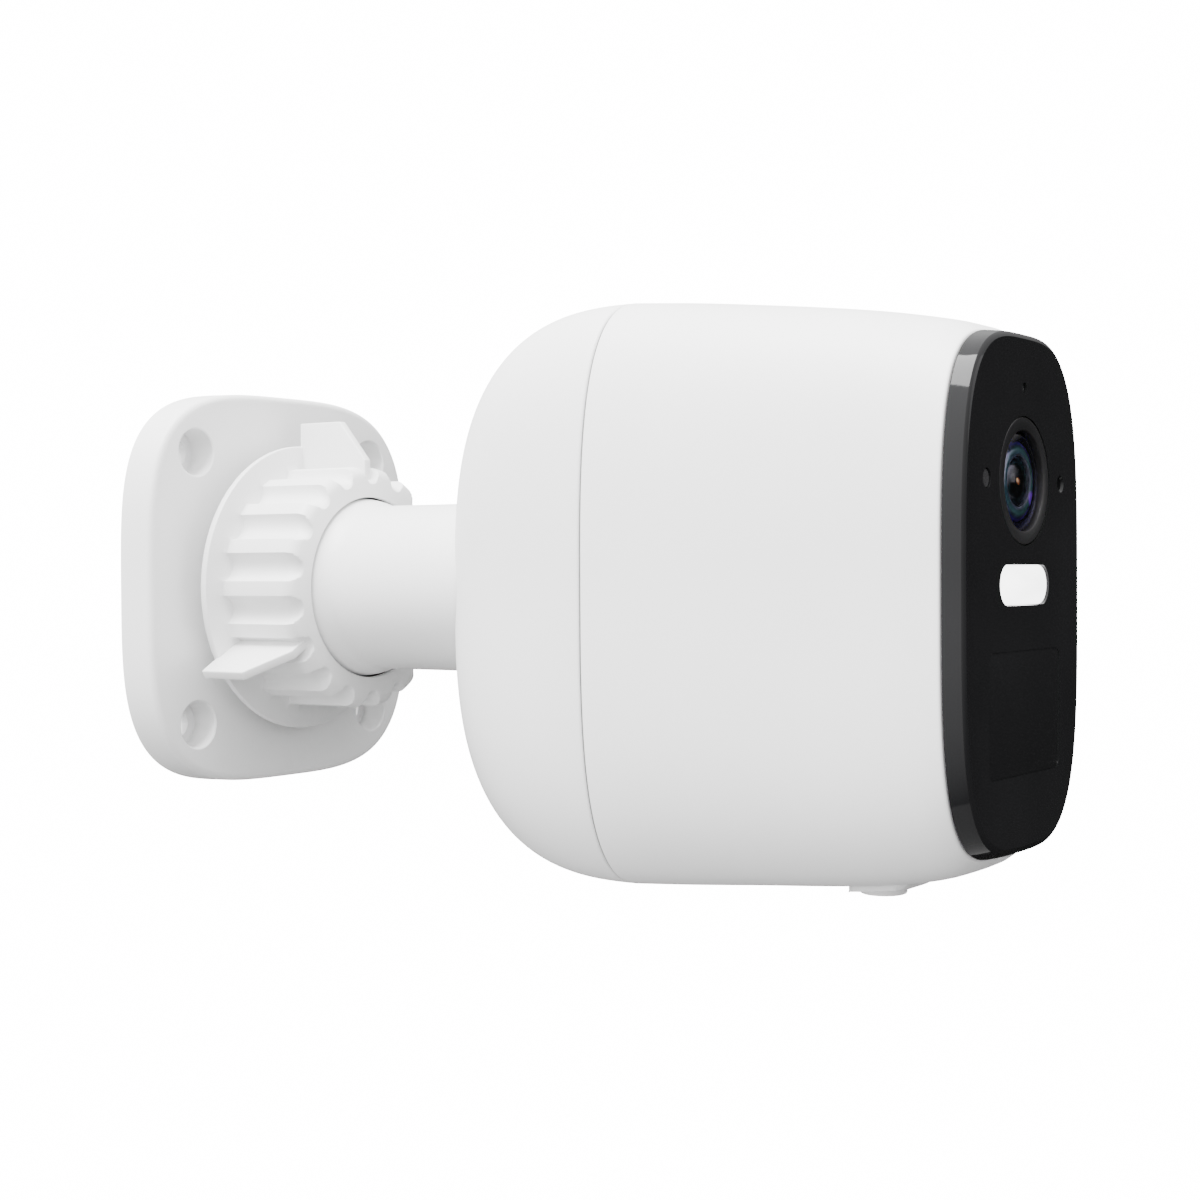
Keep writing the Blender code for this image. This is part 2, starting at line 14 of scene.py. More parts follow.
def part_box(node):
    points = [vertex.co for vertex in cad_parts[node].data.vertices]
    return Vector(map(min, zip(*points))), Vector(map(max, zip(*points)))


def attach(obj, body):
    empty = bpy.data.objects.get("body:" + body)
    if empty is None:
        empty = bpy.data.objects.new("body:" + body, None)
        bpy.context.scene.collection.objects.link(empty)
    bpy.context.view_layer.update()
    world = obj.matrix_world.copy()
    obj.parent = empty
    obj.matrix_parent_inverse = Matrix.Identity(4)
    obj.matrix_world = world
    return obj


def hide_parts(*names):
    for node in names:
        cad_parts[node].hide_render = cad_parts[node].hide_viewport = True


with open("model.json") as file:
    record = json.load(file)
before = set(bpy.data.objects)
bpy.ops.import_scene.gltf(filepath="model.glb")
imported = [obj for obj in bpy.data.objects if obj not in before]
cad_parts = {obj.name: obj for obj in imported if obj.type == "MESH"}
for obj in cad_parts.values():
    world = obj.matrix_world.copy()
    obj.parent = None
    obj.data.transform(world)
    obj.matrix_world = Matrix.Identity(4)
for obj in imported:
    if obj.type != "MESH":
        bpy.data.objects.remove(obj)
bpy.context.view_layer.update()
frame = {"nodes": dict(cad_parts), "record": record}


# --- The room -------------------------------------------------------------------------------------
# A small grey floor well below the camera, a white sky that is brightest high on the left, and a broad
# soft lamp overhead, so that the top of the white plastic is the brightest and its underside turns grey.
# A weak second lamp puts a sheen on the black cover.
MM = 0.001
BACKDROP = 16.0
SKY_DARK, SKY_BRIGHT = 0.02, 4.6


def linear(colour):
    """A hex sRGB colour as linear red, green, blue and alpha."""
    channels = [int(colour[start:start + 2], 16) / 255 for start in (1, 3, 5)]
    curve = [c / 12.92 if c <= 0.04045 else ((c + 0.055) / 1.055) ** 2.4 for c in channels]
    return (*curve, 1.0)


def add(tree, kind, inputs=None, **settings):
    """Add a node. Each input is a value, or the socket that feeds it."""
    node = tree.nodes.new(kind)
    for name, value in settings.items():
        setattr(node, name, value)
    for name, value in (inputs or {}).items():
        if isinstance(value, bpy.types.NodeSocket):
            tree.links.new(value, node.inputs[name])
        else:
            node.inputs[name].default_value = value
    return node


def sky():
    """A sky that falls off from its brightest point. Seen directly it is an even white backdrop."""
    world = bpy.data.worlds.new("white_sky")
    bpy.context.scene.world = world
    world.use_nodes = True
    tree = world.node_tree
    tree.nodes.clear()
    path = add(tree, "ShaderNodeLightPath")
    place = add(tree, "ShaderNodeTexCoord")
    toward = add(tree, "ShaderNodeVectorMath", {0: place.outputs["Generated"], 1: (-0.5, 0.1, 0.86)},
                 operation='DOT_PRODUCT')
    glow = add(tree, "ShaderNodeMapRange", {"Value": toward.outputs["Value"], "From Min": -0.3,
                                            "From Max": 1.0, "To Min": SKY_DARK, "To Max": SKY_BRIGHT})
    lit = add(tree, "ShaderNodeBackground", {"Color": (1, 1, 1, 1), "Strength": glow.outputs["Result"]})
    seen = add(tree, "ShaderNodeBackground", {"Color": (1, 1, 1, 1), "Strength": BACKDROP})
    mix = add(tree, "ShaderNodeMixShader", {0: path.outputs["Is Camera Ray"], 1: lit.outputs[0],
                                            2: seen.outputs[0]})
    add(tree, "ShaderNodeOutputWorld", {"Surface": mix.outputs[0]})


def lamp(name, place, aim, size, watts):
    """A round soft lamp. Its place, aim and size are in metres."""
    light = bpy.data.lights.new(name, 'AREA')
    light.shape = 'DISK'
    light.size = size
    light.energy = watts
    lamp_object = bpy.data.objects.new(name, light)
    bpy.context.scene.collection.objects.link(lamp_object)
    lamp_object.location = place
    lamp_object.rotation_euler = (Vector(aim) - Vector(place)).to_track_quat('-Z', 'Y').to_euler()


def floor():
    """A grey disc a metre across, kept out of the part."""
    build = bmesh.new()
    bmesh.ops.create_circle(build, cap_ends=True, segments=96, radius=0.5)
    bmesh.ops.translate(build, verts=build.verts, vec=(0, -0.06, -0.6))
    mesh = bpy.data.meshes.new("floor")
    build.to_mesh(mesh)
    build.free()
    ground = bpy.data.objects.new("floor", mesh)
    bpy.context.scene.collection.objects.link(ground)
    paint = bpy.data.materials.new("grey_paint")
    paint.use_nodes = True
    shader = paint.node_tree.nodes["Principled BSDF"]
    shader.inputs["Base Color"].default_value = linear("#8c8c8c")
    shader.inputs["Roughness"].default_value = 0.9
    mesh.materials.append(paint)


sky()
lamp("overhead", (-0.3, 0.0, 0.7), (0, -0.07, 0), 0.5, 21.0)
lamp("face_side", (0.25, -0.6, 0.15), (0, -0.1, 0), 0.35, 0.5)
floor()


# --- The viewpoint --------------------------------------------------------------------------------
# The camera that takes the picture stands level with the mount, on the left of the lens.
def viewpoint():
    """Place the camera, turned by its azimuth, elevation and roll in degrees."""
    azimuth, elevation, roll = (math.radians(angle) for angle in (-55.959, 0.931, -0.276))
    back = Vector((math.sin(azimuth) * math.cos(elevation), -math.cos(azimuth) * math.cos(elevation),
                   math.sin(elevation)))
    level = Vector((math.cos(azimuth), math.sin(azimuth), 0))
    upright = back.cross(level)
    right = level * math.cos(roll) + upright * math.sin(roll)
    up = back.cross(right)
    lens = bpy.data.cameras.new("viewpoint")
    lens.sensor_width = 36.0
    lens.lens = 60.35
    lens.clip_start = 0.01
    eye = bpy.data.objects.new("viewpoint", lens)
    bpy.context.scene.collection.objects.link(eye)
    eye.matrix_world = Matrix((right, up, back)).transposed().to_4x4()
    eye.location = (-0.2297, -0.2191, 0.0028)
    bpy.context.scene.camera = eye


viewpoint()


# --- Rear shell -----------------------------------------------------------------------------------
# The domed back half of the body, injection-moulded in white ABS with a fine satin grain. The stem
# goes into its round pocket, and the brass insert sits in the boss behind it.
AROUND = 192
STEM_RADIUS = 12.05
DOME_REAR, DOME_FRONT = 44.0, 73.0
DOME_EXPONENT = 2.7
WALL = 2.0
SEAM = 72.65
SEAM_HALF_GAP = 0.13
# Depth from the wall, top, bottom, half width, and the exponent of the section's superellipse.
BODY = (
    (73.0, 38.1, -39.7, 17.8, 3.1),
    (82.0, 37.4, -39.1, 18.2, 3.1),
    (91.7, 36.4, -38.3, 18.4, 3.2),
    (104.6, 34.9, -37.3, 18.4, 3.3),
    (111.5, 33.9, -36.5, 18.35, 3.4),
    (117.0, 32.9, -35.5, 18.3, 3.4),
    (120.5, 32.1, -34.3, 18.2, 3.5),
    (123.0, 31.0, -32.6, 18.1, 3.5),
    (125.4, 30.65, -31.75, 17.95, 3.5),
    (125.8, 30.3, -31.3, 17.64, 3.5),
)


def gentle(first, second):
    """The slope where two spans meet: none at a turning point, otherwise their harmonic mean."""
    return 0.0 if first * second <= 0 else 2 * first * second / (first + second)


def body_at(depth):
    """Top, bottom, half width and exponent of the body's section at a depth, on a smooth curve."""
    if depth <= DOME_FRONT:
        _, top, bottom, half_width, exponent = BODY[0]
        inward = min(1.0, (DOME_FRONT - depth) / (DOME_FRONT - DOME_REAR))
        shrink = (1 - inward ** DOME_EXPONENT) ** (1 / DOME_EXPONENT)
        middle = (top + bottom) / 2
        return (middle + (top - middle) * shrink, middle + (bottom - middle) * shrink,
                half_width * shrink, exponent)
    index = max(i for i in range(len(BODY) - 1) if BODY[i][0] <= depth or i == 0)
    before, after = BODY[index], BODY[index + 1]
    earlier, later = BODY[max(index - 1, 0)], BODY[min(index + 2, len(BODY) - 1)]
    span = after[0] - before[0]
    share = min(1.0, (depth - before[0]) / span)
    values = []
    for column in range(1, 5):
        low, high = before[column], after[column]
        slope = (high - low) / span
        behind = (low - earlier[column]) / (before[0] - earlier[0]) if index else slope
        ahead = (later[column] - high) / (later[0] - after[0]) if later is not after else slope
        start, end = gentle(behind, slope) * span, gentle(slope, ahead) * span
        square, cube = share ** 2, share ** 3
        values.append((2 * cube - 3 * square + 1) * low + (cube - 2 * square + share) * start
                      + (3 * square - 2 * cube) * high + (cube - square) * end)
    return tuple(values)


def rounded_square(angle, half_width, half_height, exponent):
    """The point of a superellipse at an angle: an oblong with full, soft corners."""
    cosine, sine = math.cos(angle), math.sin(angle)
    return (math.copysign(abs(cosine) ** (2 / exponent), cosine) * half_width,
            math.copysign(abs(sine) ** (2 / exponent), sine) * half_height)


def on_body(angle, depth, inset):
    """The point of the body's skin at an angle about the depth axis."""
    top, bottom, half_width, exponent = body_at(depth)
    x, z = rounded_square(angle, half_width - inset, (top - bottom) / 2 - inset, exponent)
    return Vector((x, -depth, z + (top + bottom) / 2))


def drum(rows, segments, cap=True):
    """A unit drum whose levels are row numbers: a circle, extruded once for each later row."""
    build = bmesh.new()
    bmesh.ops.create_circle(build, segments=segments, radius=1)
    edges = build.edges[:]
    if cap:
        bmesh.ops.contextual_create(build, geom=edges)
    for _ in range(rows - 1):
        grown = bmesh.ops.extrude_edge_only(build, edges=edges)["geom"]
        edges = [item for item in grown if isinstance(item, bmesh.types.BMEdge)]
        moved = [item for item in grown if isinstance(item, bmesh.types.BMVert)]
        bmesh.ops.translate(build, verts=moved, vec=(0, 0, 1))
    if cap:
        bmesh.ops.contextual_create(build, geom=edges)
    return build


def solid(name, build, angle=35):
    """Close a bmesh into an object in metres, with smooth faces and crisp edges."""
    bmesh.ops.remove_doubles(build, verts=build.verts, dist=0.0005)
    bmesh.ops.recalc_face_normals(build, faces=build.faces)
    bmesh.ops.scale(build, vec=(MM, MM, MM), verts=build.verts)
    mesh = bpy.data.meshes.new(name)
    build.to_mesh(mesh)
    build.free()
    mesh.shade_smooth()
    mesh.set_sharp_from_angle(angle=math.radians(angle))
    made = bpy.data.objects.new(name, mesh)
    bpy.context.scene.collection.objects.link(made)
    return made


def skin(name, levels, segments=AROUND):
    """A closed loft through (depth, inset) levels of the body."""
    build = drum(len(levels), segments)
    for vert in build.verts:
        depth, inset = levels[round(vert.co.z)]
        vert.co = on_body(math.atan2(vert.co.y, vert.co.x), depth, inset)
    return solid(name, build)


def turn(name, profile, segments=96, x=0.0, z=0.0, closed=False):
    """Spin (radius, depth) points about the depth axis. A closed profile makes a ring."""
    build = bmesh.new()
    verts = [build.verts.new((x + radius, -depth, z)) for radius, depth in profile]
    edges = [build.edges.new(pair) for pair in zip(verts, verts[1:])]
    if closed:
        edges.append(build.edges.new((verts[-1], verts[0])))
    bmesh.ops.spin(build, geom=verts + edges, cent=(x, 0, z), axis=(0, 1, 0), angle=math.tau,
                   steps=segments, use_merge=True)
    return solid(name, build)


def rod(name, radius, rear, front, segments=96, x=0.0, z=0.0):
    """A plain round rod along the depth axis."""
    return turn(name, [(0, rear), (radius, rear), (radius, front), (0, front)], segments, x, z)


def carve(piece, *tools, operation='DIFFERENCE', angle=35):
    """Cut tools from a piece, or join them to it, one after the other, and remove them."""
    for tool in tools:
        cut = piece.modifiers.new("cut", 'BOOLEAN')
        cut.operation = operation
        cut.solver = 'EXACT'
        cut.object = tool
        bpy.context.view_layer.update()
        graph = bpy.context.evaluated_depsgraph_get()
        settled = bpy.data.meshes.new_from_object(piece.evaluated_get(graph))
        piece.modifiers.clear()
        piece.data = settled
        bpy.data.objects.remove(tool)
    piece.data.shade_smooth()
    piece.data.set_sharp_from_angle(angle=math.radians(angle))


def lip(depths, start=None, end=None, radius=0.35, steps=4):
    """Levels for a skin whose first and last edges, where given, are rounded over."""
    levels = [(depth, 0.0) for depth in depths]
    turns = [math.radians(90 * step / steps) for step in range(steps + 1)]
    if start is not None:
        first = [(start + radius * (1 - math.sin(t)), radius * (1 - math.cos(t))) for t in turns[::-1]]
        levels = first + levels
    if end is not None:
        levels += [(end - radius * (1 - math.sin(t)), radius * (1 - math.cos(t))) for t in turns]
    return levels


def moulded(name, colour, shade, grain, rough, bump, **sockets):
    """A moulded or machined surface: cloudy colour, uneven gloss and a fine grain.

    The grain is in millimetres, rough is the range of roughness, and bump is the grain's height in mm.
    """
    made = bpy.data.materials.new(name)
    made.use_nodes = True
    tree = made.node_tree
    shader = tree.nodes["Principled BSDF"]
    place = add(tree, "ShaderNodeTexCoord").outputs["Object"]
    cloud = add(tree, "ShaderNodeTexNoise", {"Vector": place, "Scale": 60.0, "Detail": 4.0})
    pits = add(tree, "ShaderNodeTexNoise", {"Vector": place, "Scale": 1 / (grain * MM), "Detail": 3.0})
    ramp = add(tree, "ShaderNodeValToRGB", {"Fac": cloud.outputs["Fac"]})
    ramp.color_ramp.elements[0].position = 0.3
    ramp.color_ramp.elements[1].position = 0.7
    ramp.color_ramp.elements[0].color = linear(shade)
    ramp.color_ramp.elements[1].color = linear(colour)
    gloss = add(tree, "ShaderNodeMapRange", {"Value": pits.outputs["Fac"], "From Min": 0.3, "From Max": 0.7,
                                             "To Min": rough[0], "To Max": rough[1]})
    relief = add(tree, "ShaderNodeBump", {"Height": pits.outputs["Fac"], "Strength": 1.0,
                                          "Distance": bump * MM})
    tree.links.new(ramp.outputs["Color"], shader.inputs["Base Color"])
    tree.links.new(gloss.outputs["Result"], shader.inputs["Roughness"])
    tree.links.new(relief.outputs["Normal"], shader.inputs["Normal"])
    for socket, value in sockets.items():
        shader.inputs[socket.replace("_", " ")].default_value = value
    return made


def dress(piece, finish, body, slot, *nodes):
    """Give a piece its material, the body that it rides on and the nodes it stands for; the slot is not
    used.
    """
    piece.data.materials.clear()
    piece.data.materials.append(finish)
    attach(piece, body)
    if nodes:
        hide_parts(*nodes)


# Spark-eroded ABS scatters light softly, with a grain of a quarter of a millimetre.
satin_abs = moulded("satin_white_abs", "#f1f1f1", "#eeeeee", 0.25, (0.42, 0.54), 0.006)

# The levels crowd together toward the back, where the dome curves most.
dome_rows = [DOME_FRONT - (DOME_FRONT - DOME_REAR) * math.sin(math.radians(degrees)) ** 0.9
             for degrees in range(88, 2, -2)]
rear_levels = lip([d for d in dome_rows if d < SEAM - 1], end=SEAM - SEAM_HALF_GAP)
rear_shell = skin("rear_shell_moulding", rear_levels)
carve(rear_shell, skin("rear_hollow", [(d, WALL) for d in (52.0, 54.0, 57.0, 60.0, 64.0, 68.0, 72.9)], 96))
carve(rear_shell, rod("insert_boss", 6.6, 51, 56.2), operation='UNION')
carve(rear_shell, rod("stem_pocket", STEM_RADIUS + 0.32, DOME_REAR - 2, 50.0, 128),
      rod("insert_hole", 5.3, 49, 55.6))
dress(rear_shell, satin_abs, "camera", "white_plastic", "rear_shell")


# --- Front shell ----------------------------------------------------------------------------------
# The straight part of the body, moulded in the same plastic. It holds the inner frame's screw posts,
# and under it is a shallow recess with the opening for the ports.
FLAP_REAR, FLAP_FRONT, FLAP_HALF_WIDTH = 103.9, 112.8, 5.4
FLAP_GAP = 0.33
POST_X, POST_HEIGHTS = 13.4, (20.0, -22.0)
PORT_MIDDLE, PORT_OPENING = (0, -108.3, -35), (8.8, 6.8, 10)


def belly(half_width, rear, front, low, high, corner, slope=0.0):
    """A slab that follows the body's underside, between two distances out from it, with round corners.

    The slope is how far the outer face falls short of the inner one at the front.
    """
    build = bmesh.new()
    bmesh.ops.create_grid(build, x_segments=28, y_segments=20, size=1)
    half_depth = (front - rear) / 2
    for vert in build.verts:
        x, along = vert.co.x * half_width, vert.co.y * half_depth
        over_x, over_y = abs(x) - (half_width - corner), abs(along) - (half_depth - corner)
        if over_x > 0 and over_y > 0:
            reach = max(over_x, over_y) / max(math.hypot(over_x, over_y), 1e-9)
            x = math.copysign(half_width - corner + over_x * reach, x)
            along = math.copysign(half_depth - corner + over_y * reach, along)
        vert.co = (x, (rear + front) / 2 + along, 0)
    grown = bmesh.ops.extrude_face_region(build, geom=build.faces[:])["geom"]
    bmesh.ops.translate(build, verts=[v for v in grown if isinstance(v, bmesh.types.BMVert)], vec=(0, 0, 1))
    for vert in build.verts:
        x, depth, level = vert.co
        if slope and level and depth > front - corner:
            depth -= slope * (depth - front + corner) / corner
        top, bottom, width, exponent = body_at(depth)
        middle = (top + bottom) / 2
        drop = (middle - bottom) * (1 - abs(x / width) ** exponent) ** (1 / exponent)
        vert.co = (x, -depth, middle - drop - (low + (high - low) * level))
    return build


front_rows = [74.0 + 48.2 * step / 36 for step in range(37)]
front_levels = lip(front_rows, start=SEAM + SEAM_HALF_GAP, end=122.78, radius=0.3)
front_shell = skin("front_shell_moulding", front_levels)
carve(front_shell, skin("front_hollow", [(d, WALL) for d in [72.0] + front_rows[::4] + [124.0]], 96))
for side in (-POST_X, POST_X):
    for height in POST_HEIGHTS:
        carve(front_shell, rod("screw_post", 2.4, 89, 95.7, 24, side, height), operation='UNION')
        carve(front_shell, rod("post_bore", 1.2, 90, 97, 24, side, height))
recess = belly(FLAP_HALF_WIDTH + FLAP_GAP, FLAP_REAR - FLAP_GAP, FLAP_FRONT + FLAP_GAP, -0.85, 4.0, 2.4)
mouth = bmesh.new()
bmesh.ops.create_cube(mouth, size=1)
bmesh.ops.scale(mouth, vec=PORT_OPENING, verts=mouth.verts)
bmesh.ops.translate(mouth, vec=PORT_MIDDLE, verts=mouth.verts)
carve(front_shell, solid("flap_recess", recess), solid("port_mouth", mouth))
dress(front_shell, satin_abs, "camera", "white_plastic", "front_shell")


# --- Seam seal ------------------------------------------------------------------------------------
# A thin grey ring of silicone rubber, pressed between the shells. It shows as the parting line.
seal = skin("seam_seal", [(SEAM - 0.1, 0.3), (SEAM + 0.1, 0.3)])
carve(seal, skin("seal_hollow", [(SEAM - 0.6, 1.8), (SEAM + 0.6, 1.8)]))
# Moulded silicone: a matt grey that keeps the thin line soft.
silicone = moulded("grey_silicone", "#6e6e6e", "#666666", 0.2, (0.6, 0.75), 0.005)
dress(seal, silicone, "camera", "seal_rubber", "shell_seal")


# --- Front cover ----------------------------------------------------------------------------------
# A thick polished plate of black polycarbonate with a flat face and a fine ground bevel. It is glued
# to the front shell, and its openings hold the lens, the sensors and the two windows.
LENS_Z = 12.95
BEZEL_RADIUS = 7.73
SPOT_Z, SPOT_HALF_WIDTH, SPOT_HALF_HEIGHT = 0.45, 7.55, 2.41
MOTION_Z, MOTION_HALF_WIDTH, MOTION_HALF_HEIGHT, MOTION_CORNER = -14.95, 11.0, 7.45, 1.3
LIGHT_SENSOR_X, MICROPHONE_X, STATUS_Z = -11.4, 11.5, 24.1
# Every opening is cut from behind the cover to in front of it.
BEHIND, AHEAD = 122, 126


def rounded_slab(half_width, half_height, corner, rear, front, z, edge=0.0, steps=10):
    """A slab with rounded corners, facing along the depth axis, its front edge rounded over."""
    build = bmesh.new()
    bmesh.ops.create_grid(build, x_segments=1, y_segments=1, size=1)
    bmesh.ops.scale(build, vec=(half_width, half_height, 1), verts=build.verts)
    bmesh.ops.bevel(build, geom=build.verts[:], offset=corner * 0.999, segments=steps, profile=0.5,
                    affect='VERTICES', material=-1)
    grown = bmesh.ops.extrude_face_region(build, geom=build.faces[:])["geom"]
    raised = [v for v in grown if isinstance(v, bmesh.types.BMVert)]
    bmesh.ops.translate(build, verts=raised, vec=(0, 0, front - rear))
    if edge:
        rim = [e for e in build.edges if all(v.co.z > (front - rear) / 2 for v in e.verts)]
        bmesh.ops.bevel(build, geom=rim, offset=edge, segments=3, profile=0.5, affect='EDGES', material=-1)
    bmesh.ops.rotate(build, verts=build.verts, matrix=Matrix.Rotation(math.radians(90), 3, 'X'))
    bmesh.ops.translate(build, verts=build.verts, vec=(0, -rear, z))
    return build


cover_rows = [(123.02, 0.14), (123.06, 0.04), (123.16, 0.0), (123.9, 0.0), (124.6, 0.0), (125.1, 0.0),
              (125.42, 0.0), (125.54, 0.04), (125.72, 0.18), (125.8, 0.26)]
cover = skin("front_cover_plate", cover_rows)
sound_profile = [(0, BEHIND), (0.85, BEHIND), (0.85, 125.5), (1.15, 125.9), (0, 125.9)]
spot_hole = rounded_slab(SPOT_HALF_WIDTH + 0.08, SPOT_HALF_HEIGHT + 0.08, 2.45, BEHIND, AHEAD, SPOT_Z)
motion_hole = rounded_slab(MOTION_HALF_WIDTH + 0.03, MOTION_HALF_HEIGHT + 0.03, MOTION_CORNER, BEHIND, AHEAD,
                           MOTION_Z)
carve(cover,
      rod("lens_hole", BEZEL_RADIUS + 0.06, BEHIND, AHEAD, 128, 0, LENS_Z),
      rod("light_hole", 1.2, BEHIND, AHEAD, 48, LIGHT_SENSOR_X, LENS_Z),
      turn("sound_hole", sound_profile, 48, MICROPHONE_X, LENS_Z),
      rod("status_hole", 0.68, BEHIND, AHEAD, 32, 0, STATUS_Z),
      solid("spot_hole", spot_hole), solid("motion_hole", motion_hole), angle=20)
# Polished polycarbonate: a mirror gloss with barely any haze over a deep black.
piano_black = moulded("polished_black_polycarbonate", "#1d1d1e", "#19191a", 0.6, (0.05, 0.08), 0.0004,
                      IOR=1.45, Specular_IOR_Level=0.2)
dress(cover, piano_black, "camera", "gloss_black", "front_cover")


# --- Lens -----------------------------------------------------------------------------------------
# A satin black bezel ring round a wide-angle lens. Behind its clear front element are stepped black
# baffles and two smaller coated elements, which shine purple and green round a dark pupil.
bezel_profile = [(6.3, 120.3), (BEZEL_RADIUS - 0.02, 120.3), (BEZEL_RADIUS - 0.02, 125.62),
                 (BEZEL_RADIUS - 0.14, 125.74), (6.25, 125.74), (6.12, 125.66), (6.1, 125.5), (6.1, 124.2),
                 (6.3, 124.1)]
bezel = turn("lens_bezel_ring", bezel_profile, 128, 0, LENS_Z, closed=True)
# Satin black polycarbonate: a wide soft sheen that sets the ring off from the glossy cover.
satin_black = moulded("satin_black_polycarbonate", "#1f1f20", "#1b1b1c", 0.2, (0.34, 0.44), 0.002,
                      Specular_IOR_Level=0.3)
dress(bezel, satin_black, "camera", "dark_plastic", "lens_bezel")


def bulge(radius, edge_depth, height, rows=14):
    """A dome's profile, from its rim to its tip."""
    return [(radius * math.cos(math.radians(90 * row / rows)),
             edge_depth + height * math.sin(math.radians(90 * row / rows))) for row in range(rows + 1)]


def coated(name, stops, reach, rough, glint=None, **sockets):
    """Coated glass whose colour runs in rings about the lens axis. The stops are (radius mm, colour).

    A glint is a painted highlight, a soft spot of another colour: its (x, z) place on the lens, its radius
    and its colour.
    """
    made = bpy.data.materials.new(name)
    made.use_nodes = True
    tree = made.node_tree
    shader = tree.nodes["Principled BSDF"]
    place = add(tree, "ShaderNodeTexCoord").outputs["Object"]
    centred = add(tree, "ShaderNodeMapping", {"Vector": place, "Location": (0, 0, -LENS_Z * MM)})
    parts = add(tree, "ShaderNodeSeparateXYZ", {"Vector": centred.outputs["Vector"]})
    flat = add(tree, "ShaderNodeCombineXYZ", {"X": parts.outputs["X"], "Z": parts.outputs["Z"]})
    radius = add(tree, "ShaderNodeVectorMath", {0: flat.outputs[0]}, operation='LENGTH')
    share = add(tree, "ShaderNodeMath", {0: radius.outputs["Value"], 1: reach * MM}, operation='DIVIDE')
    rings = add(tree, "ShaderNodeValToRGB", {"Fac": share.outputs[0]})
    ramp = rings.color_ramp
    while len(ramp.elements) < len(stops):
        ramp.elements.new(0.5)
    for element, (at, colour) in zip(ramp.elements, stops):
        element.position = at / reach
        element.color = linear(colour)
    colour = rings.outputs["Color"]
    if glint:
        (x, z), size, tint = glint
        away = add(tree, "ShaderNodeVectorMath", {0: flat.outputs[0], 1: (x * MM, 0, z * MM)},
                   operation='DISTANCE')
        spot = add(tree, "ShaderNodeMapRange", {"Value": away.outputs["Value"], "From Min": size * 0.55 * MM,
                                                "From Max": size * MM, "To Min": 1.0, "To Max": 0.0})
        colour = add(tree, "ShaderNodeMix", {"Factor": spot.outputs["Result"], 6: colour, 7: linear(tint)},
                     data_type='RGBA').outputs[2]
    tree.links.new(colour, shader.inputs["Base Color"])
    shader.inputs["Roughness"].default_value = rough
    for socket, value in sockets.items():
        shader.inputs[socket.replace("_", " ")].default_value = value
    return made


# The front element is a thin meniscus: the same dome inside and out, so it bends the view very little.
meniscus = bulge(6.02, 124.9, 0.85) + bulge(6.02, 124.4, 0.85)[::-1]
front_glass = turn("lens_front_glass", meniscus, 128, 0, LENS_Z)
# Coated optical glass: clear in the middle, with a violet tint toward the rim.
clear_stops = ((0.0, "#ffffff"), (4.6, "#f3f0ff"), (5.4, "#d9ccff"), (6.0, "#8f7bd0"))
clear_glass = coated("coated_lens_glass", clear_stops, 6.1, 0.01, Transmission_Weight=1.0, IOR=1.35)
dress(front_glass, clear_glass, "camera", "lens_glass", "lens_front_element")

# Stepped baffles keep stray light out of the lens, each ring a little deeper and narrower.
baffle_steps = [(6.0, 124.35), (5.75, 124.35), (5.75, 124.15), (5.45, 124.15), (5.45, 123.95), (5.1, 123.95),
                (5.1, 123.75), (4.75, 123.75), (4.75, 122.6), (6.0, 122.6)]
baffle = turn("lens_baffle", baffle_steps, 128, 0, LENS_Z, closed=True)
# Black anodised aluminium: half metallic, with a cold blue tint on its steps.
anodised = moulded("black_anodised_aluminium", "#1c2030", "#141724", 0.2, (0.2, 0.28), 0.002, Metallic=0.5)
dress(baffle, anodised, "camera", "dark_plastic")

# The outer coated element shows as a ring, green near the pupil and violet at its rim, with a violet
# highlight painted in as a soft spot below the axis on the +X side.
outer_ring = [(4.7, 121.4), (4.7, 122.7), (4.45, 123.2), (4.0, 123.55), (3.5, 123.72), (3.15, 123.68),
              (2.95, 123.4), (2.95, 121.4)]
outer_glass = turn("lens_outer_glass", outer_ring, 128, 0, LENS_Z, closed=True)
sheen_stops = ((0.0, "#8b94a0"), (3.0, "#8b94a0"), (3.15, "#5c6b74"), (3.35, "#3d5f62"), (3.75, "#4e7a74"),
               (4.1, "#3c4c5c"), (4.35, "#4a3a8a"), (4.7, "#150f2b"))
sheen = coated("green_violet_coating_and_painted_glint", sheen_stops, 4.8, 0.05, IOR=1.8, glint=((3.5, -1.9), 1.0, "#a06cf5"))
dress(outer_glass, sheen, "camera", "lens_glass")

# The inner element is the pupil: nearly black, with a warm highlight painted into the colour of its middle
# and a second painted warm glint just off the middle.
inner_glass = turn("lens_inner_glass", [(0, 121.0), (2.8, 121.0)] + bulge(2.8, 122.0, 1.0), 96, 0, LENS_Z)
pupil_and_glint_stops = ((0.0, "#ffd9b0"), (0.22, "#b87245"), (0.5, "#2a160f"), (0.8, "#06070a"), (1.7, "#07090d"),
               (2.1, "#0d2425"), (2.5, "#12202c"), (2.8, "#39424c"))
pupil_and_glint = coated("dark_pupil_and_painted_glint", pupil_and_glint_stops, 2.85, 0.04, IOR=1.6,
               glint=((-0.25, 0.15), 0.34, "#ffd2a0"))
dress(inner_glass, pupil_and_glint, "camera", "lens_glass")


# --- Windows and sensors in the face --------------------------------------------------------------
# The spotlight's window is a pill of acrylic with a painted white glow, over a white reflector cup, the
# motion sensor's is a fine-frosted dark sheet, and the small round ones are for light and for the status
# lamp.
spot_pane = rounded_slab(SPOT_HALF_WIDTH, SPOT_HALF_HEIGHT, SPOT_HALF_HEIGHT, 122.6, 125.6, SPOT_Z, 0.3, 14)
spot = solid("spotlight_pane", spot_pane)
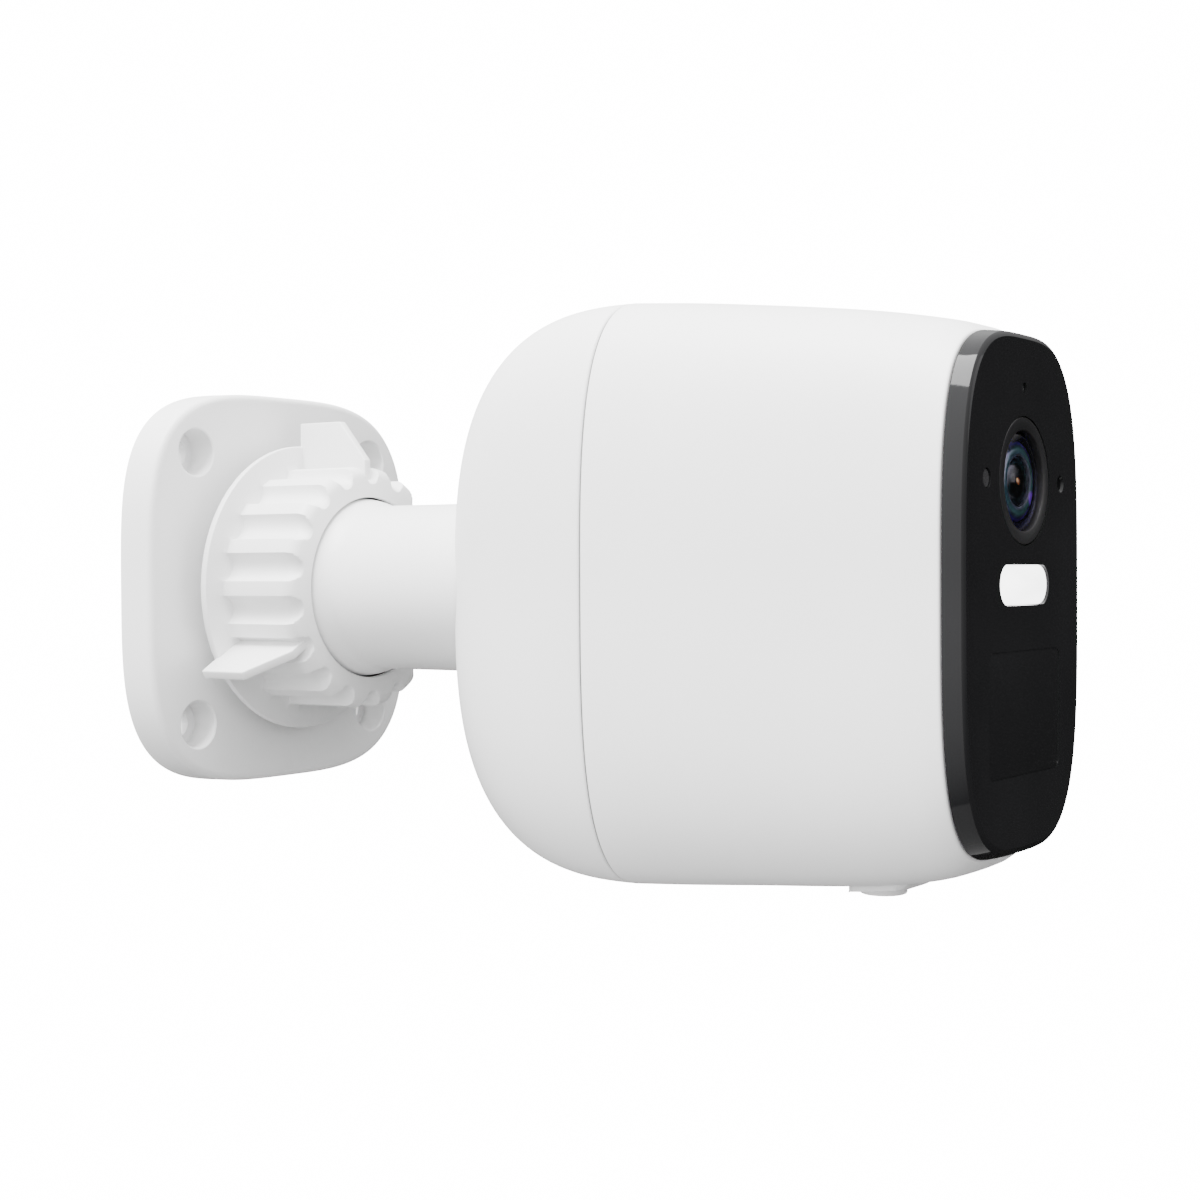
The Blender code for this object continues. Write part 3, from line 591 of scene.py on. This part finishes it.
# Diffusing acrylic with a painted white glow: it gives off light of its own, under a faint gloss.
frost_painted_glow = moulded("diffusing_acrylic_painted_glow", "#ffffff", "#f6f6f4", 0.8, (0.12, 0.2), 0.002, IOR=1.49,
                Emission_Color=linear("#ffffff"), Emission_Strength=5.0, Coat_Weight=0.4)
dress(spot, frost_painted_glow, "camera", "clear_window", "spotlight_window")

reflector = solid("spotlight_reflector", rounded_slab(7.2, 2.3, 2.3, 119.0, 122.3, SPOT_Z, steps=12))
carve(reflector, solid("reflector_hollow", rounded_slab(6.6, 1.9, 1.9, 118.0, 123.0, SPOT_Z, steps=12)))
# Bright white polycarbonate, smooth enough to throw the light forward.
bright_white = moulded("reflector_white", "#f7f7f5", "#f2f2f0", 0.3, (0.3, 0.4), 0.002)
dress(reflector, bright_white, "camera", "white_plastic")

motion_pane = rounded_slab(MOTION_HALF_WIDTH, MOTION_HALF_HEIGHT, MOTION_CORNER - 0.05, 123.6, 125.76,
                           MOTION_Z, 0.04, 8)
motion = solid("motion_pane", motion_pane)
# Polyethylene with a Fresnel pattern: fine facets under half a millimetre wide, drawn as a fine bumpy grain.
fresnel = moulded("frosted_black_polyethylene", "#1a1a1b", "#171718", 0.45, (0.16, 0.24), 0.003,
                  Specular_IOR_Level=0.3)
dress(motion, fresnel, "camera", "pir_plastic", "pir_window")

light_profile = [(0, 122.6), (1.15, 122.6), (1.15, 125.45), (1.05, 125.58), (0, 125.6)]
light_pane = turn("light_sensor_pane", light_profile, 48, LIGHT_SENSOR_X, LENS_Z)
# Smoked acrylic: a polished dark grey, a little paler than the cover.
smoked = moulded("smoked_acrylic", "#3a3a3b", "#343435", 0.3, (0.15, 0.22), 0.001)
dress(light_pane, smoked, "camera", "dark_plastic", "light_sensor_window")

status_profile = [(0, 120.0), (0.63, 120.0), (0.63, 125.3), (0.5, 125.45), (0, 125.5)]
status = turn("status_lamp_tip", status_profile, 32, 0, STATUS_Z)
# A light pipe of smoked acrylic, dark while its lamp is off.
smoked_pipe = moulded("smoked_light_pipe", "#39393a", "#333334", 0.3, (0.2, 0.3), 0.001)
dress(status, smoked_pipe, "camera", "clear_window", "status_light_pipe")


# --- Port cover -----------------------------------------------------------------------------------
# A thin white rubber flap with a round pull. It turns on a living hinge at its front edge, which slopes
# so that the flap can swing down clear of the shell.
PULL_DEPTH, PULL_RADIUS = 106.9, 3.0
flap = belly(FLAP_HALF_WIDTH, FLAP_REAR, FLAP_FRONT, -0.45, 0.68, 2.2, slope=1.35)
rim = [e for e in flap.edges if e.calc_face_angle(0) > math.radians(50)]
bmesh.ops.bevel(flap, geom=rim, offset=0.25, segments=3, profile=0.5, affect='EDGES', material=-1,
                clamp_overlap=True)
flap = solid("port_flap_rubber", flap)
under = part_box("port_cover")[0][2] / MM
pull = bmesh.new()
pull_profile = [(0, under + 1.7), (PULL_RADIUS, under + 1.7), (PULL_RADIUS, under + 0.35),
                (PULL_RADIUS - 0.1, under + 0.12), (PULL_RADIUS - 0.35, under + 0.02), (0, under + 0.02)]
rim_points = [pull.verts.new((radius, -PULL_DEPTH, height)) for radius, height in pull_profile]
rim_edges = [pull.edges.new(pair) for pair in zip(rim_points, rim_points[1:])]
bmesh.ops.spin(pull, geom=rim_points + rim_edges, cent=(0, -PULL_DEPTH, 0), axis=(0, 0, 1), angle=math.tau,
               steps=64, use_merge=True)
carve(flap, solid("flap_pull", pull), operation='UNION')
# White silicone rubber: a little greyer than the shell, and matt.
white_rubber = moulded("white_silicone_rubber", "#e9e9e9", "#e4e4e4", 0.3, (0.55, 0.68), 0.006)
dress(flap, white_rubber, "port_flap", "white_rubber", "port_cover")


# --- Ball stem ------------------------------------------------------------------------------------
# A fat white stem of ABS with a ball on its rear end. Its front end goes into the camera's pocket,
# where a threaded stud holds it.
BALL_DEPTH, BALL_RADIUS = 19.9, 13.35
STEM_END = 49.7
blend_polar = 180 - math.degrees(math.asin(STEM_RADIUS / BALL_RADIUS))
ball_polars = [math.radians(blend_polar * step / 40) for step in range(41)]
stem_profile = [(BALL_RADIUS * math.sin(polar), BALL_DEPTH - BALL_RADIUS * math.cos(polar))
                for polar in ball_polars]
stem_profile += [(STEM_RADIUS, depth) for depth in (26.5, 30, 36, 42, 46, 49.1)]
stem_profile += [(STEM_RADIUS - 0.2, 49.5), (STEM_RADIUS - 0.6, STEM_END), (3.5, STEM_END), (3.5, 41.7),
                 (0, 41.7)]
stem = turn("stem_moulding", stem_profile, 160)
# ABS from a smoother mould than the shells: a little glossier, with less grain.
stem_plastic = moulded("smooth_white_abs", "#ececec", "#e9e9e9", 0.3, (0.36, 0.44), 0.003)
dress(stem, stem_plastic, "stem", "white_plastic", "ball_stem")


# --- Locking ring ---------------------------------------------------------------------------------
# The white nylon nut that clamps the ball: a rear flange, eighteen scallops for grip and three wings.
# It is screwed onto the socket's collar.
RIBS = 18
RIB_RADIUS, SCALLOP_DEEP = 18.0, 1.6
RING_REAR, FLANGE_TOP, RING_FRONT = 8.7, 9.9, 23.1
SCALLOP_END, SCALLOP_ROUND = 23.4, 1.3
# Half a scallop's width as a share of the pitch from one rib to the next.
SCALLOP_SHARE = 0.31
# Radius, depth, and how far the scallops reach there: 1 on the grip, 0 on the flange and the bore.
nut_outside = [(20.9, RING_REAR, 0), (21.3, 8.8, 0), (21.45, 9.1, 0), (21.45, 9.6, 0), (21.35, 9.82, 0),
               (21.1, FLANGE_TOP, 0), (19.0, FLANGE_TOP, 0), (18.3, 9.95, 0.6), (18.02, 10.1, 1)]
nut_outside += [(RIB_RADIUS, 10.3 + step * 0.35, 1) for step in range(32)]
nut_outside += [(17.96, 21.5, 1), (17.86, 21.8, 1), (17.68, 22.15, 1), (17.4, 22.5, 1), (17.05, 22.8, 1),
                (16.6, 23.0, 1), (16.0, 23.09, 0.6), (15.4, RING_FRONT, 0), (13.9, RING_FRONT, 0),
                (13.55, 23.02, 0), (13.4, 22.8, 0), (13.4, 22.1, 0), (15.4, 22.0, 0), (15.4, RING_REAR, 0)]


def scallop(angle, depth):
    """How far the grip is hollowed at a place on the ring."""
    pitch = math.tau / RIBS
    offset = (angle / pitch + 0.5) % 1.0 - 0.5
    across = (0.5 - abs(offset)) / SCALLOP_SHARE
    along = max(0.0, depth - (SCALLOP_END - SCALLOP_ROUND)) / SCALLOP_ROUND
    room = 1 - across ** 2 - along ** 2
    return SCALLOP_DEEP * math.sqrt(room) if room > 0 else 0.0


nut = drum(len(nut_outside), RIBS * 24, cap=False)
ends = [e for e in nut.edges if e.is_boundary]
bmesh.ops.bridge_loops(nut, edges=ends)
for vert in nut.verts:
    radius, depth, grip = nut_outside[round(vert.co.z)]
    angle = math.atan2(vert.co.y, vert.co.x)
    radius -= grip * scallop(angle, depth)
    vert.co = (radius * math.cos(angle), -depth, radius * math.sin(angle))
nut = solid("locking_nut", nut, angle=28)

WING_THICK = 1.4
wing_outline = ((15.9, 9.35), (24.9, 9.35), (24.9, 17.3), (19.0, 22.2), (15.9, 22.2))
for number, degrees in enumerate((90, 210, 330)):
    wing = bmesh.new()
    corners = [wing.verts.new((radius, -depth, -WING_THICK / 2)) for radius, depth in wing_outline]
    sheet = wing.faces.new(corners)
    grown = bmesh.ops.extrude_face_region(wing, geom=[sheet])["geom"]
    raised = [v for v in grown if isinstance(v, bmesh.types.BMVert)]
    bmesh.ops.translate(wing, verts=raised, vec=(0, 0, WING_THICK))
    outer = [e for e in wing.edges if max(v.co.x for v in e.verts) > 17]
    bmesh.ops.bevel(wing, geom=outer, offset=0.22, segments=3, profile=0.5, affect='EDGES', material=-1)
    bmesh.ops.rotate(wing, verts=wing.verts, matrix=Matrix.Rotation(math.radians(-degrees), 3, 'Y'))
    carve(nut, solid(f"wing_{number}", wing), operation='UNION', angle=28)
# Moulded nylon: a shade greyer than the shells, with the same soft gloss.
nylon = moulded("white_nylon", "#eaeaea", "#e6e6e6", 0.3, (0.4, 0.5), 0.004)
dress(nut, nylon, "ring", "white_plastic", "locking_ring")


# --- Wall plate -----------------------------------------------------------------------------------
# A rounded square plate of white ABS with a soft front edge and four counterbored screw holes.
PLATE_HALF_WIDTH, PLATE_HALF_HEIGHT, PLATE_EXPONENT, PLATE_THICK = 28.6, 29.2, 3.6, 6.0
HOLE_X, HOLE_Z = 19.2, 19.9
plate_rows = [(0.0, 0.15), (0.15, 0.0), (1.5, 0.0), (3.0, 0.05), (5.0, 0.1), (5.3, 0.13), (5.55, 0.22),
              (5.77, 0.4), (5.91, 0.62), (5.98, 0.85), (PLATE_THICK, 1.15)]
plate = drum(len(plate_rows), 256)
for vert in plate.verts:
    depth, inset = plate_rows[round(vert.co.z)]
    angle = math.atan2(vert.co.y, vert.co.x)
    x, z = rounded_square(angle, PLATE_HALF_WIDTH - inset, PLATE_HALF_HEIGHT - inset, PLATE_EXPONENT)
    vert.co = (x, -depth, z)
plate = solid("plate_moulding", plate)
counterbore = [(0, 7), (4.0, 7), (3.75, 6.06), (3.45, 5.85), (3.4, 5.6), (3.4, 1.6), (2.1, 1.6), (2.1, -1),
               (0, -1)]
for side in (-HOLE_X, HOLE_X):
    for height in (-HOLE_Z, HOLE_Z):
        carve(plate, turn("screw_hole", counterbore, 64, side, height))
# Moulded ABS with a fine grain, a little rougher than the stem.
plate_plastic = moulded("plate_white_abs", "#efefef", "#ececec", 0.25, (0.42, 0.52), 0.005)
dress(plate, plate_plastic, "wall_mount", "white_plastic", "wall_plate")


# --- Pieces kept as they are ----------------------------------------------------------------------
# The collar and cup in the mount, and everything inside the body. Each slot has the finish of its real
# part: moulded acetal, plated steel, solder-masked glass fibre, turned brass, shrink-wrapped cells and
# the yellow phosphor of the white LEDs.
finishes = {
    "dark_plastic": moulded("black_acetal", "#2b2b2c", "#262627", 0.25, (0.35, 0.48), 0.004),
    "plated_metal": moulded("nickel_plated_steel", "#c9c9c6", "#bdbdb9", 0.15, (0.2, 0.32), 0.002,
                            Metallic=1.0),
    "circuit_board": moulded("green_circuit_board", "#1c5a34", "#17502d", 0.8, (0.3, 0.42), 0.01),
    "brass": moulded("turned_brass", "#c8a35a", "#b9934c", 0.15, (0.22, 0.34), 0.002, Metallic=1.0),
    "cell_sleeve": moulded("blue_shrink_sleeve", "#2c5fa8", "#28579b", 0.5, (0.25, 0.35), 0.003),
    "clear_window": moulded("led_phosphor", "#f2e07a", "#ead36a", 0.3, (0.4, 0.5), 0.004),
    "lens_glass": clear_glass,
}
slots = {row["node"]: row["material_slot"] for row in frame["record"]["subparts"]}
for name, node in frame["nodes"].items():
    if slots[name] in finishes:
        node.data.materials.clear()
        node.data.materials.append(finishes[slots[name]])
